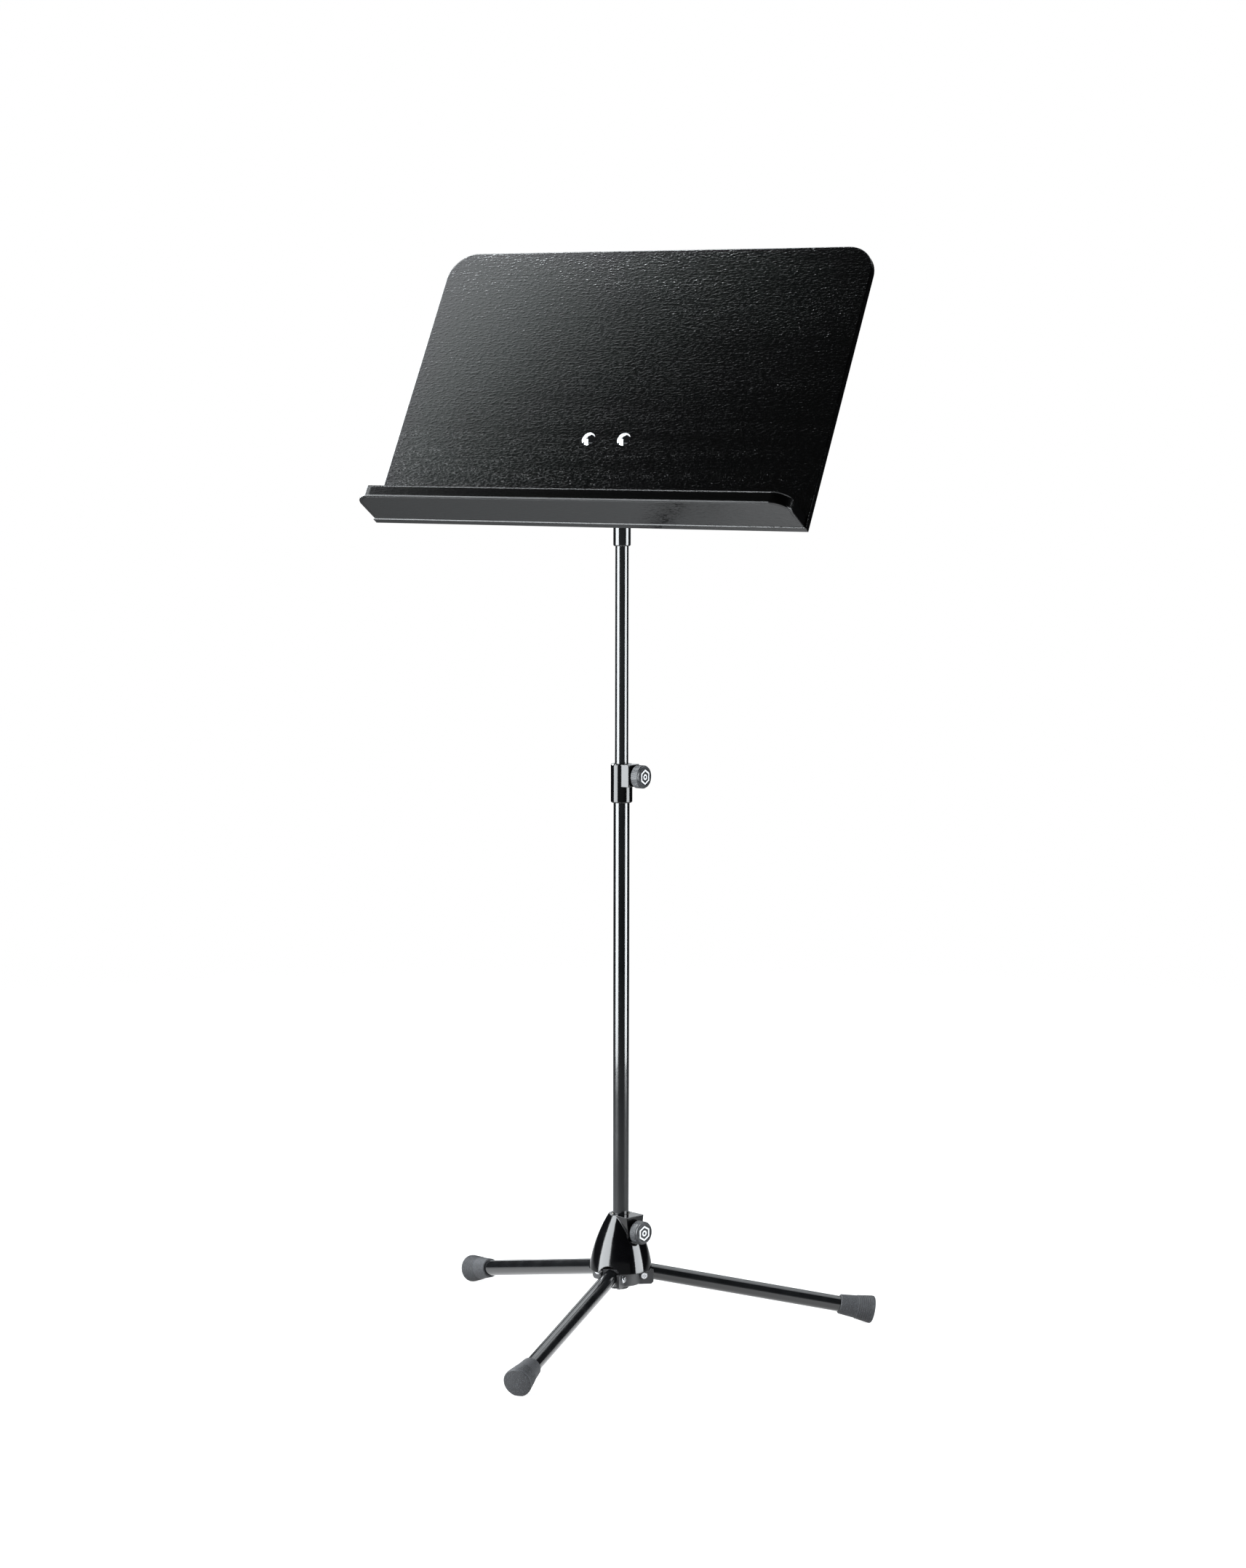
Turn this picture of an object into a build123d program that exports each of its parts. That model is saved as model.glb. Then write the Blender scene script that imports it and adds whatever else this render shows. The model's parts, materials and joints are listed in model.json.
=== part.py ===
"""Music stand with a wooden desk: folding tripod, height-adjusting column, swivelling and tilting desk.

Millimetres, +Z up. The origin lies on the floor under the column's axis. The desk faces -Y and its
width lies along X. Bearings are counted from -Y towards +X.
"""
import os
from math import cos, radians, sin, sqrt, tan

from build123d import *

os.makedirs("parts", exist_ok=True)

# ---- driving dimensions ----------------------------------------------------------------------------
FIT = 0.06                  # radial clearance of turning and sliding fits
GAP = 0.3                   # clearance between parts that move past each other

TUBE_R = 9.0                # lower tube
TUBE_WALL = 1.2
TUBE_BOTTOM = 52.0
TUBE_TOP = 618.0

ROD_R = 7.5                 # upper rod
ROD_WALL = 1.5
ROD_BOTTOM = 345.0
ROD_TOP = 960.0

SLEEVE_R = 12.15            # clamp sleeve at the top of the lower tube
SLEEVE_BOTTOM = 606.3
SLEEVE_TOP = 650.2
LINER_R = 8.6
CLAMP_BEARING = 82.0
CLAMP_HEIGHT = 636.8
CLAMP_BLOCK_FACE = 17.7
CLAMP_BLOCK_WIDTH = 20.0
CLAMP_BLOCK_BOTTOM = 624.8
CLAMP_KNOB_BACK = 21.0

KNOB_R = 13.0               # both clamping knobs
KNOB_LENGTH = 12.0
KNOB_NECK_R = 6.5
KNOB_RIBS = 60
SCREW_R = 4.0
SCREW_NOSE_R = 1.5
PAD_R = 3.8
PAD_LENGTH = 4.2

BELL_TOP = 136.5            # bell over the folding joint
BELL_TOP_R = 13.8
BELL_MID = 108.6
BELL_MID_R = 27.2
BELL_RIM = 73.5
BELL_RIM_R = 36.0
BELL_WALL = 2.6
BELL_CAVITY_TOP = 96.0
BELL_BORE_R = 10.4
BELL_BEARING = 72.0
BELL_SCREW_HEIGHT = 119.5
BELL_BOSS_FACE = 23.3
BELL_BOSS_WIDTH = 26.6        # at its top; it narrows downwards
BELL_BOSS_FOOT = 17.0
BELL_BOSS_BOTTOM = 100.0
BELL_KNOB_BACK = 27.0
ARCH_R = 13.6                # arch over each leg

LEG_BEARINGS = {"front_leg": 6.0, "right_leg": 126.0, "left_leg": 246.0}
LEG_SLOPE = 11.75           # degrees below level
LEG_R = 9.0
LEG_WALL = 1.3
LEG_PIVOT_REACH = 25.0
LEG_PIVOT_HEIGHT = 66.5
LEG_AXIS_RISE = 3.6         # the leg's axis passes this far above its pivot
LEG_START = 4.0             # places along the leg are counted from the pivot
LEG_END = 268.0
FITTING_HALF_WIDTH = 9.3
CAP_START = 232.5
CAP_RIM_R = 15.8

FORK_REACH = 36.0           # spider
FORK_BOTTOM = 56.5
FORK_TOP = 73.0
CHEEK = 3.0
SPIDER_RING_R = 11.8
SPIDER_RING_TOP = 90.0
SPIDER_DISC_R = 24.0
PIVOT_R = 2.5

HEAD_R = 9.8                # tilt head on the rod
HEAD_BOTTOM = 893.6
HEAD_SHOULDER = 968.0
TONGUE_R = 12.0
TONGUE_HALF = 6.0
TILT_HEIGHT = 1000.0
TILT_BOLT_R = 4.0

DESK_TILT = 30.75           # degrees back from upright
DESK_WIDTH = 536.0
DESK_HEIGHT = 350.0
DESK_THICK = 9.0
DESK_CORNER_R = 34.0
DESK_SHIFT = 4.0            # the desk's centre stands this far beside the column
PIVOT_UP = 118.0            # tilt pivot above the desk's bottom edge
PIVOT_BEHIND = 36.0         # tilt pivot behind the desk's back face

LEDGE_HALF_WIDTH = 266.0
LEDGE_DEPTH = 52.5
LEDGE_CORNER_R = 20.0
LEDGE_UNDERSIDE = 1.0
LEDGE_THICK = 6.5
LIP_THICK = 3.0
LIP_HEIGHT = 13.2

BOLT_HALF_SPACING = 22.0
BOLT_UP = 105.8
BOLT_R = 3.0
BOLT_HEAD_R = 8.0
BRACKET_THICK = 2.5
BRACKET_HALF_WIDTH = 32.0
BRACKET_LOW = 88.0
BRACKET_HIGH = 124.0
EAR_INNER = 7.4
EAR_THICK = 3.0
EAR_R = 13.0
NUT_R = 5.77
NUT_HEIGHT = 5.0
WASHER_THICK = 1.2
LEDGE_SCREW_PLACES = (-210.0, -70.0, 70.0, 210.0)
LEDGE_SCREW_R = 1.5


# ---- frames ----------------------------------------------------------------------------------------
def outward(bearing):
    """Level unit vector away from the column."""
    return Vector(sin(radians(bearing)), -cos(radians(bearing)), 0)


def sideways(bearing):
    """Level unit vector across the given bearing."""
    return Vector(cos(radians(bearing)), sin(radians(bearing)), 0)


def facing(bearing, reach, height):
    """Plane across a bearing: x sideways, y up, z away from the column."""
    place = outward(bearing) * reach + Vector(0, 0, height)
    return Plane(origin=place, x_dir=sideways(bearing), z_dir=outward(bearing))


def section(bearing):
    """Plane through the column's axis: x away from the column, y up."""
    return Plane(origin=(0, 0, 0), x_dir=outward(bearing), z_dir=-sideways(bearing))


def leg_direction(bearing):
    """Unit vector down along a leg."""
    slope = radians(LEG_SLOPE)
    return outward(bearing) * cos(slope) - Vector(0, 0, sin(slope))


def leg_origin(bearing):
    """Point of the leg's axis nearest its pivot."""
    slope = radians(LEG_SLOPE)
    reach = LEG_PIVOT_REACH + LEG_AXIS_RISE * sin(slope)
    return outward(bearing) * reach + Vector(0, 0, LEG_PIVOT_HEIGHT + LEG_AXIS_RISE * cos(slope))


def leg_section(bearing):
    """Plane through a leg's axis: x down along the leg, y across it upwards."""
    return Plane(origin=leg_origin(bearing), x_dir=leg_direction(bearing), z_dir=-sideways(bearing))


def leg_across(bearing, along):
    """Plane across a leg, its z down along the leg."""
    place = leg_origin(bearing) + leg_direction(bearing) * along
    return Plane(origin=place, x_dir=sideways(bearing), z_dir=leg_direction(bearing))


def pivot_across(bearing):
    """Plane across a leg's pivot, its z along the pivot pin."""
    place = outward(bearing) * LEG_PIVOT_REACH + Vector(0, 0, LEG_PIVOT_HEIGHT)
    return Plane(origin=place, x_dir=outward(bearing), z_dir=-sideways(bearing))


tilt = radians(DESK_TILT)
desk_up = Vector(0, sin(tilt), cos(tilt))
desk_front = Vector(0, -cos(tilt), sin(tilt))
tilt_pivot = Vector(0, 0, TILT_HEIGHT)
desk_corner = tilt_pivot - desk_up * PIVOT_UP + desk_front * (PIVOT_BEHIND + DESK_THICK)


def desk_plane(out):
    """Plane on the desk: x across, y up the desk, z out of its front face."""
    place = desk_corner + desk_front * out + Vector(DESK_SHIFT, 0, 0)
    return Plane(origin=place, x_dir=(1, 0, 0), z_dir=desk_front)


def ledge_plane(up):
    """Plane across the desk's foot: x across, y out of the front face, z down the desk."""
    place = desk_corner + desk_up * up + Vector(DESK_SHIFT, 0, 0)
    return Plane(origin=place, x_dir=(1, 0, 0), z_dir=-desk_up)


def side_plane(x):
    """Plane across X with the tilt pivot as origin: x out of the desk's back, y up the desk."""
    return Plane(origin=(x, 0, TILT_HEIGHT), x_dir=-desk_front, z_dir=(1, 0, 0))


def keep(part, node):
    """Label a finished piece and write it."""
    part.label = node
    export_step(part, f"parts/{node}.step")


# ---- column ----------------------------------------------------------------------------------------
with BuildPart() as lower_tube:
    with BuildSketch(Plane.XY.offset(TUBE_BOTTOM)):
        Circle(TUBE_R)
        Circle(TUBE_R - TUBE_WALL, mode=Mode.SUBTRACT)
    extrude(amount=TUBE_TOP - TUBE_BOTTOM)
    with BuildSketch(facing(96, 0, 85)):
        Circle(1.5)
    extrude(amount=2 * TUBE_R, both=True, mode=Mode.SUBTRACT)
keep(lower_tube.part, "lower_tube")

with BuildPart() as tube_end_plug:
    with BuildSketch(Plane.XY.offset(TUBE_BOTTOM - 2)):
        Circle(TUBE_R)
    extrude(amount=2)
    chamfer(tube_end_plug.edges().sort_by(Axis.Z)[0], 0.8)
    with BuildSketch(Plane.XY.offset(TUBE_BOTTOM)):
        Circle(TUBE_R - TUBE_WALL)
    extrude(amount=14)
    with BuildSketch(Plane.XY.offset(TUBE_BOTTOM + 2)):
        Circle(TUBE_R - TUBE_WALL - 2)
    extrude(amount=12, mode=Mode.SUBTRACT)
keep(tube_end_plug.part, "tube_end_plug")

with BuildPart() as clamp_sleeve:
    with BuildSketch(Plane.XY.offset(SLEEVE_BOTTOM)):
        Circle(SLEEVE_R)
    extrude(amount=SLEEVE_TOP - SLEEVE_BOTTOM)
    chamfer(clamp_sleeve.edges().filter_by(GeomType.CIRCLE), 1.2)
    with BuildSketch(facing(CLAMP_BEARING, 4, (CLAMP_BLOCK_BOTTOM + SLEEVE_TOP - 0.4) / 2)):
        Rectangle(CLAMP_BLOCK_WIDTH, SLEEVE_TOP - 0.4 - CLAMP_BLOCK_BOTTOM)
    extrude(amount=CLAMP_BLOCK_FACE - 4)
    block_face = clamp_sleeve.faces().sort_by(Axis((0, 0, CLAMP_HEIGHT), outward(CLAMP_BEARING)))[-1]
    fillet(block_face.edges(), 1.5)
    with BuildSketch(Plane.XY.offset(SLEEVE_BOTTOM)):
        Circle(TUBE_R)
    extrude(amount=TUBE_TOP - SLEEVE_BOTTOM, mode=Mode.SUBTRACT)
    with BuildSketch(Plane.XY.offset(TUBE_TOP)):
        Circle(LINER_R)
    extrude(amount=SLEEVE_TOP - TUBE_TOP, mode=Mode.SUBTRACT)
    with BuildSketch(facing(CLAMP_BEARING, 0, CLAMP_HEIGHT)):
        Circle(SCREW_R + 1.5 * FIT)
    extrude(amount=CLAMP_BLOCK_FACE + 1, mode=Mode.SUBTRACT)
keep(clamp_sleeve.part, "clamp_sleeve")

with BuildPart() as rod_liner:
    with BuildSketch(Plane.XY.offset(TUBE_TOP)):
        Circle(LINER_R)
        Circle(ROD_R + FIT, mode=Mode.SUBTRACT)
    extrude(amount=SLEEVE_TOP - 0.8 - TUBE_TOP)
    with BuildSketch(facing(CLAMP_BEARING, 0, CLAMP_HEIGHT)):
        Circle(PAD_R + 0.15)
    extrude(amount=SLEEVE_R, mode=Mode.SUBTRACT)
keep(rod_liner.part, "rod_liner")

# ---- spider that carries the legs ------------------------------------------------------------------
with BuildPart() as leg_spider:
    with BuildSketch(Plane.XY.offset(FORK_BOTTOM)):
        Circle(SPIDER_DISC_R)
    extrude(amount=FORK_TOP - 1 - FORK_BOTTOM)
    chamfer(leg_spider.edges().filter_by(GeomType.CIRCLE).sort_by(Axis.Z)[0], 1.5)
    for bearing in LEG_BEARINGS.values():
        fork_half = FITTING_HALF_WIDTH + GAP + CHEEK
        with BuildSketch(section(bearing).offset(-fork_half)):
            with BuildLine():
                Polyline(
                    (0, FORK_BOTTOM), (FORK_REACH - 2.5, FORK_BOTTOM), (FORK_REACH, FORK_BOTTOM + 2.5),
                    (FORK_REACH, FORK_TOP), (0, FORK_TOP), close=True,
                )
            make_face()
        extrude(amount=2 * fork_half)
    with BuildSketch(Plane.XY.offset(FORK_BOTTOM)):
        Circle(SPIDER_RING_R)
    extrude(amount=SPIDER_RING_TOP - FORK_BOTTOM)
    for bearing in LEG_BEARINGS.values():
        stop_start = LEG_PIVOT_REACH + 9.3
        stop_drop = tan(radians(LEG_SLOPE))
        under = leg_origin(bearing).Z - LEG_R / cos(radians(LEG_SLOPE)) - GAP
        reach_0 = LEG_PIVOT_REACH + LEG_AXIS_RISE * sin(radians(LEG_SLOPE))
        with BuildSketch(section(bearing).offset(-FITTING_HALF_WIDTH - GAP)):
            with BuildLine():
                Polyline(
                    (SPIDER_RING_R, FORK_BOTTOM - 1),
                    (stop_start, FORK_BOTTOM - 1),
                    (stop_start, under - (stop_start - reach_0) * stop_drop),
                    (FORK_REACH + 1, under - (FORK_REACH + 1 - reach_0) * stop_drop),
                    (FORK_REACH + 1, FORK_TOP + 1),
                    (SPIDER_RING_R, FORK_TOP + 1),
                    close=True,
                )
            make_face()
        slot = extrude(amount=2 * (FITTING_HALF_WIDTH + GAP), mode=Mode.PRIVATE)
        ring = Cylinder(SPIDER_RING_R + 0.1, 200, mode=Mode.PRIVATE)
        add(slot - ring, mode=Mode.SUBTRACT)
        with BuildSketch(pivot_across(bearing)):
            Circle(PIVOT_R)
        extrude(amount=fork_half + 1, both=True, mode=Mode.SUBTRACT)
    with BuildSketch(Plane.XY.offset(FORK_BOTTOM)):
        Circle(TUBE_R)
    extrude(amount=SPIDER_RING_TOP - FORK_BOTTOM, mode=Mode.SUBTRACT)
    with BuildSketch(facing(96, 0, 85)):
        Circle(1.5)
    extrude(amount=2 * TUBE_R, both=True, mode=Mode.SUBTRACT)
keep(leg_spider.part, "leg_spider")

with BuildPart() as spider_pin:
    with BuildSketch(facing(96, -SPIDER_RING_R + 0.3, 85)):
        Circle(1.5)
        Circle(0.8, mode=Mode.SUBTRACT)
    extrude(amount=2 * SPIDER_RING_R - 0.6)
keep(spider_pin.part, "spider_pin")

with BuildPart() as leg_pivot_screws:
    for bearing in LEG_BEARINGS.values():
        cheek_face = FITTING_HALF_WIDTH + GAP + CHEEK
        across = pivot_across(bearing)
        with BuildSketch(across.offset(-cheek_face - 1.5)):
            Circle(PIVOT_R)
        extrude(amount=2 * cheek_face + 1.5)
        with BuildSketch(across.offset(cheek_face)):
            Circle(4.2)
        extrude(amount=2.4, taper=18)
        with BuildSketch(across.offset(cheek_face + 2.4)):
            Rectangle(4.4, 1.0)
            Rectangle(1.0, 4.4)
        extrude(amount=-1.2, mode=Mode.SUBTRACT)
keep(leg_pivot_screws.part, "leg_pivot_screws")

with BuildPart() as leg_pivot_nuts:
    for bearing in LEG_BEARINGS.values():
        cheek_face = FITTING_HALF_WIDTH + GAP + CHEEK
        with BuildSketch(pivot_across(bearing).offset(-cheek_face)):
            RegularPolygon(4.6, 6)
            Circle(PIVOT_R, mode=Mode.SUBTRACT)
        extrude(amount=-1.5)
        with BuildSketch(pivot_across(bearing).offset(-cheek_face - 1.5)):
            Circle(3.8)
        extrude(amount=-1.6, taper=25)
keep(leg_pivot_nuts.part, "leg_pivot_nuts")

# ---- guide bush on the rod's lower end -------------------------------------------------------------
STEM_R = 5.5
BUSH_HEIGHT = 12.4
with BuildPart() as guide_bush:
    with BuildSketch(Plane.XY.offset(ROD_BOTTOM - GAP - BUSH_HEIGHT)):
        Circle(TUBE_R - TUBE_WALL - 1.5 * FIT)
        Circle(STEM_R + FIT, mode=Mode.SUBTRACT)
    extrude(amount=BUSH_HEIGHT)
keep(guide_bush.part, "guide_bush")

# ---- rod and tilt head -----------------------------------------------------------------------------
HEAD_PIN_HEIGHT = 940.0
with BuildPart() as upper_rod:
    with BuildSketch(Plane.XY.offset(ROD_BOTTOM)):
        Circle(ROD_R)
        Circle(ROD_R - ROD_WALL, mode=Mode.SUBTRACT)
    extrude(amount=ROD_TOP - ROD_BOTTOM)
    with BuildSketch(Plane.YZ.offset(-ROD_R - 1)):
        with Locations((0, HEAD_PIN_HEIGHT)):
            Circle(1.5)
    extrude(amount=2 * ROD_R + 2, mode=Mode.SUBTRACT)
keep(upper_rod.part, "upper_rod")

circlip_top = ROD_BOTTOM - 2 * GAP - BUSH_HEIGHT
with BuildPart() as rod_end_plug:
    with BuildSketch(Plane.XY.offset(ROD_BOTTOM)):
        Circle(ROD_R - ROD_WALL)
    extrude(amount=20)
    with BuildSketch(Plane.XY.offset(circlip_top - 3)):
        Circle(STEM_R)
    extrude(amount=ROD_BOTTOM - circlip_top + 3)
    with BuildSketch(Plane.XY.offset(circlip_top - 1)):
        Circle(STEM_R)
        Circle(STEM_R - 0.8, mode=Mode.SUBTRACT)
    extrude(amount=1, mode=Mode.SUBTRACT)
keep(rod_end_plug.part, "rod_end_plug")

with BuildPart() as rod_circlip:
    with BuildSketch(Plane.XY.offset(circlip_top - 1)):
        Circle(STEM_R + 1.3)
        Circle(STEM_R - 0.8, mode=Mode.SUBTRACT)
        with Locations((STEM_R, 0)):
            Rectangle(5, 2.4, mode=Mode.SUBTRACT)
    extrude(amount=1)
keep(rod_circlip.part, "rod_circlip")

with BuildPart() as tilt_head:
    with BuildSketch(Plane.XY.offset(HEAD_BOTTOM)):
        Circle(HEAD_R)
    extrude(amount=HEAD_SHOULDER - HEAD_BOTTOM)
    chamfer(tilt_head.edges().filter_by(GeomType.CIRCLE), 1.0)
    with BuildSketch(Plane.YZ.offset(-TONGUE_HALF)):
        with Locations((0, TILT_HEIGHT)):
            Circle(TONGUE_R)
        with BuildLine():
            Polyline(
                (-HEAD_R + 1.5, HEAD_SHOULDER - 4), (HEAD_R - 1.5, HEAD_SHOULDER - 4),
                (TONGUE_R, TILT_HEIGHT), (-TONGUE_R, TILT_HEIGHT), close=True,
            )
        make_face()
    extrude(amount=2 * TONGUE_HALF)
    with BuildSketch(Plane.XY.offset(HEAD_BOTTOM)):
        Circle(ROD_R)
    extrude(amount=ROD_TOP - HEAD_BOTTOM, mode=Mode.SUBTRACT)
    with BuildSketch(Plane.YZ.offset(-TONGUE_HALF - 1)):
        with Locations((0, TILT_HEIGHT)):
            Circle(TILT_BOLT_R + FIT)
    extrude(amount=2 * TONGUE_HALF + 2, mode=Mode.SUBTRACT)
    with BuildSketch(Plane.YZ.offset(-HEAD_R - 1)):
        with Locations((0, HEAD_PIN_HEIGHT)):
            Circle(1.5)
    extrude(amount=2 * HEAD_R + 2, mode=Mode.SUBTRACT)
keep(tilt_head.part, "tilt_head")

with BuildPart() as head_pin:
    with BuildSketch(Plane.YZ.offset(-HEAD_R + 0.3)):
        with Locations((0, HEAD_PIN_HEIGHT)):
            Circle(1.5)
            Circle(0.8, mode=Mode.SUBTRACT)
    extrude(amount=2 * HEAD_R - 0.6)
keep(head_pin.part, "head_pin")

# ---- desk ------------------------------------------------------------------------------------------
ledge_middle = LEDGE_UNDERSIDE + LEDGE_THICK / 2
with BuildPart() as desk_board:
    with BuildSketch(desk_plane(-DESK_THICK)) as board_outline:
        with Locations((0, DESK_HEIGHT / 2)):
            Rectangle(DESK_WIDTH, DESK_HEIGHT)
        fillet(board_outline.vertices().sort_by(Axis.Y)[-2:], DESK_CORNER_R)
    extrude(amount=DESK_THICK)
    front_and_back = desk_board.faces().filter_by(Axis(desk_corner, desk_front))
    fillet(front_and_back.edges(), 1.0)
    with BuildSketch(desk_plane(0)):
        with Locations((-BOLT_HALF_SPACING, BOLT_UP), (BOLT_HALF_SPACING, BOLT_UP)):
            Circle(BOLT_R)
    extrude(amount=-DESK_THICK - 1, mode=Mode.SUBTRACT)
    with BuildSketch(desk_plane(0)):
        with Locations((-BOLT_HALF_SPACING, BOLT_UP), (BOLT_HALF_SPACING, BOLT_UP)):
            Rectangle(2 * BOLT_R, 2 * BOLT_R)
    extrude(amount=-4, mode=Mode.SUBTRACT)
    with BuildSketch(desk_plane(-DESK_THICK)):
        with Locations([(place, ledge_middle) for place in LEDGE_SCREW_PLACES]):
            Circle(LEDGE_SCREW_R)
    extrude(amount=DESK_THICK, mode=Mode.SUBTRACT)
    with BuildSketch(desk_plane(-DESK_THICK)):
        with Locations([(place, ledge_middle) for place in LEDGE_SCREW_PLACES]):
            Circle(3.0)
    extrude(amount=1.5, taper=45, mode=Mode.SUBTRACT)
keep(desk_board.part, "desk_board")


def ledge_outline(inset):
    """Ledge outline from the desk's front face out, its front corners rounded."""
    half = LEDGE_HALF_WIDTH - inset
    depth = LEDGE_DEPTH - inset
    corner = LEDGE_CORNER_R - inset
    with BuildSketch() as outline:
        with Locations((0, depth / 2)):
            Rectangle(2 * half, depth)
        fillet(outline.vertices().sort_by(Axis.Y)[-2:], corner)
    return outline.sketch


with BuildPart() as desk_ledge:
    with BuildSketch(ledge_plane(LEDGE_UNDERSIDE + LEDGE_THICK)):
        add(ledge_outline(LIP_THICK))
    extrude(amount=LEDGE_THICK)
    with BuildSketch(desk_plane(0)):
        with Locations([(place, ledge_middle) for place in LEDGE_SCREW_PLACES]):
            Circle(LEDGE_SCREW_R)
    extrude(amount=22, mode=Mode.SUBTRACT)
keep(desk_ledge.part, "desk_ledge")

with BuildPart() as ledge_lip:
    with BuildSketch(ledge_plane(LEDGE_UNDERSIDE + LIP_HEIGHT)):
        add(ledge_outline(0))
        add(ledge_outline(LIP_THICK), mode=Mode.SUBTRACT)
    extrude(amount=LIP_HEIGHT)
keep(ledge_lip.part, "ledge_lip")

with BuildPart() as ledge_screws:
    with BuildSketch(desk_plane(-DESK_THICK)):
        with Locations([(place, ledge_middle) for place in LEDGE_SCREW_PLACES]):
            Circle(LEDGE_SCREW_R)
    extrude(amount=DESK_THICK + 22)
    with BuildSketch(desk_plane(-DESK_THICK)):
        with Locations([(place, ledge_middle) for place in LEDGE_SCREW_PLACES]):
            Circle(3.0)
    extrude(amount=1.5, taper=45)
keep(ledge_screws.part, "ledge_screws")

with BuildPart() as coach_bolts:
    for place in (-BOLT_HALF_SPACING, BOLT_HALF_SPACING):
        head_height = 3.4
        dome_r = (BOLT_HEAD_R**2 + head_height**2) / (2 * head_height)
        axis_plane = Plane(origin=desk_plane(0).from_local_coords((place, BOLT_UP, 0)),
                           x_dir=(1, 0, 0), z_dir=-desk_up)
        with BuildSketch(axis_plane):
            with BuildLine():
                Line((0, 0), (BOLT_HEAD_R, 0))
                RadiusArc((BOLT_HEAD_R, 0), (0, head_height), -dome_r)
                Line((0, head_height), (0, 0))
            make_face()
        revolve(axis=Axis(axis_plane.origin, desk_front))
        with BuildSketch(desk_plane(0)):
            with Locations((place, BOLT_UP)):
                Rectangle(2 * BOLT_R, 2 * BOLT_R)
        extrude(amount=-4)
        with BuildSketch(desk_plane(0)):
            with Locations((place, BOLT_UP)):
                Circle(BOLT_R)
        extrude(amount=-DESK_THICK - BRACKET_THICK - WASHER_THICK - NUT_HEIGHT - 2)
keep(coach_bolts.part, "coach_bolts")

back_of_bracket = -DESK_THICK - BRACKET_THICK
with BuildPart() as bolt_washers:
    with BuildSketch(desk_plane(back_of_bracket)):
        with Locations((-BOLT_HALF_SPACING, BOLT_UP), (BOLT_HALF_SPACING, BOLT_UP)):
            Circle(6.25)
            Circle(BOLT_R, mode=Mode.SUBTRACT)
    extrude(amount=-WASHER_THICK)
keep(bolt_washers.part, "bolt_washers")

with BuildPart() as bolt_nuts:
    with BuildSketch(desk_plane(back_of_bracket - WASHER_THICK)):
        with Locations((-BOLT_HALF_SPACING, BOLT_UP), (BOLT_HALF_SPACING, BOLT_UP)):
            RegularPolygon(NUT_R, 6)
            Circle(BOLT_R, mode=Mode.SUBTRACT)
    extrude(amount=-NUT_HEIGHT)
keep(bolt_nuts.part, "bolt_nuts")

with BuildPart() as tilt_bracket:
    with BuildSketch(desk_plane(-DESK_THICK)) as bracket_outline:
        with Locations((0, (BRACKET_LOW + BRACKET_HIGH) / 2)):
            Rectangle(2 * BRACKET_HALF_WIDTH, BRACKET_HIGH - BRACKET_LOW)
        fillet(bracket_outline.vertices(), 5)
    extrude(amount=-BRACKET_THICK)
    plate_out = PIVOT_BEHIND - 0.5
    for inner in (EAR_INNER, -EAR_INNER - EAR_THICK):
        with BuildSketch(side_plane(inner)):
            Circle(EAR_R)
            with BuildLine():
                Polyline(
                    (2, -EAR_R + 1.2), (-plate_out, BRACKET_LOW - PIVOT_UP + 4),
                    (-plate_out, BRACKET_HIGH - PIVOT_UP - 1), (2, EAR_R - 1.2), close=True,
                )
            make_face()
            Circle(TILT_BOLT_R, mode=Mode.SUBTRACT)
        extrude(amount=EAR_THICK)
    with BuildSketch(desk_plane(-DESK_THICK)):
        with Locations((-BOLT_HALF_SPACING, BOLT_UP), (BOLT_HALF_SPACING, BOLT_UP)):
            Circle(BOLT_R)
    extrude(amount=-BRACKET_THICK, mode=Mode.SUBTRACT)
keep(tilt_bracket.part, "tilt_bracket")

EAR_OUTER = EAR_INNER + EAR_THICK
SPRING_STACK = 3.0
LOCKNUT_HEIGHT = 8.0
with BuildPart() as tilt_bolt:
    with BuildSketch(side_plane(-EAR_OUTER)):
        RegularPolygon(7.5, 6)
    extrude(amount=-5.3)
    with BuildSketch(side_plane(-EAR_OUTER)):
        Circle(TILT_BOLT_R)
    extrude(amount=2 * EAR_OUTER + SPRING_STACK + LOCKNUT_HEIGHT + 1.5)
keep(tilt_bolt.part, "tilt_bolt")

with BuildPart() as friction_washers:
    for start in (TONGUE_HALF + 0.05, -EAR_INNER):
        with BuildSketch(side_plane(start)):
            Circle(11)
            Circle(TILT_BOLT_R, mode=Mode.SUBTRACT)
        extrude(amount=EAR_INNER - TONGUE_HALF - 0.05)
keep(friction_washers.part, "friction_washers")

with BuildPart() as disc_springs:
    for start, end in ((EAR_OUTER, EAR_OUTER + 1.5), (EAR_OUTER + SPRING_STACK, EAR_OUTER + 1.5)):
        lean = 0.6 * (end - start) / 1.5
        full = end - start
        with BuildSketch(Plane.XY.offset(TILT_HEIGHT)):
            with BuildLine():
                Polyline(
                    (start, 9), (start + full - lean, 9), (end, TILT_BOLT_R),
                    (start + lean, TILT_BOLT_R), close=True,
                )
            make_face()
        revolve(axis=Axis((0, 0, TILT_HEIGHT), (1, 0, 0)))
keep(disc_springs.part, "disc_springs")

with BuildPart() as tilt_locknut:
    with BuildSketch(side_plane(EAR_OUTER + SPRING_STACK)):
        RegularPolygon(7.5, 6)
        Circle(TILT_BOLT_R, mode=Mode.SUBTRACT)
    extrude(amount=LOCKNUT_HEIGHT - 2)
    with BuildSketch(side_plane(EAR_OUTER + SPRING_STACK + LOCKNUT_HEIGHT - 2)):
        Circle(6.3)
        Circle(TILT_BOLT_R, mode=Mode.SUBTRACT)
    extrude(amount=2)
keep(tilt_locknut.part, "tilt_locknut")


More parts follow.
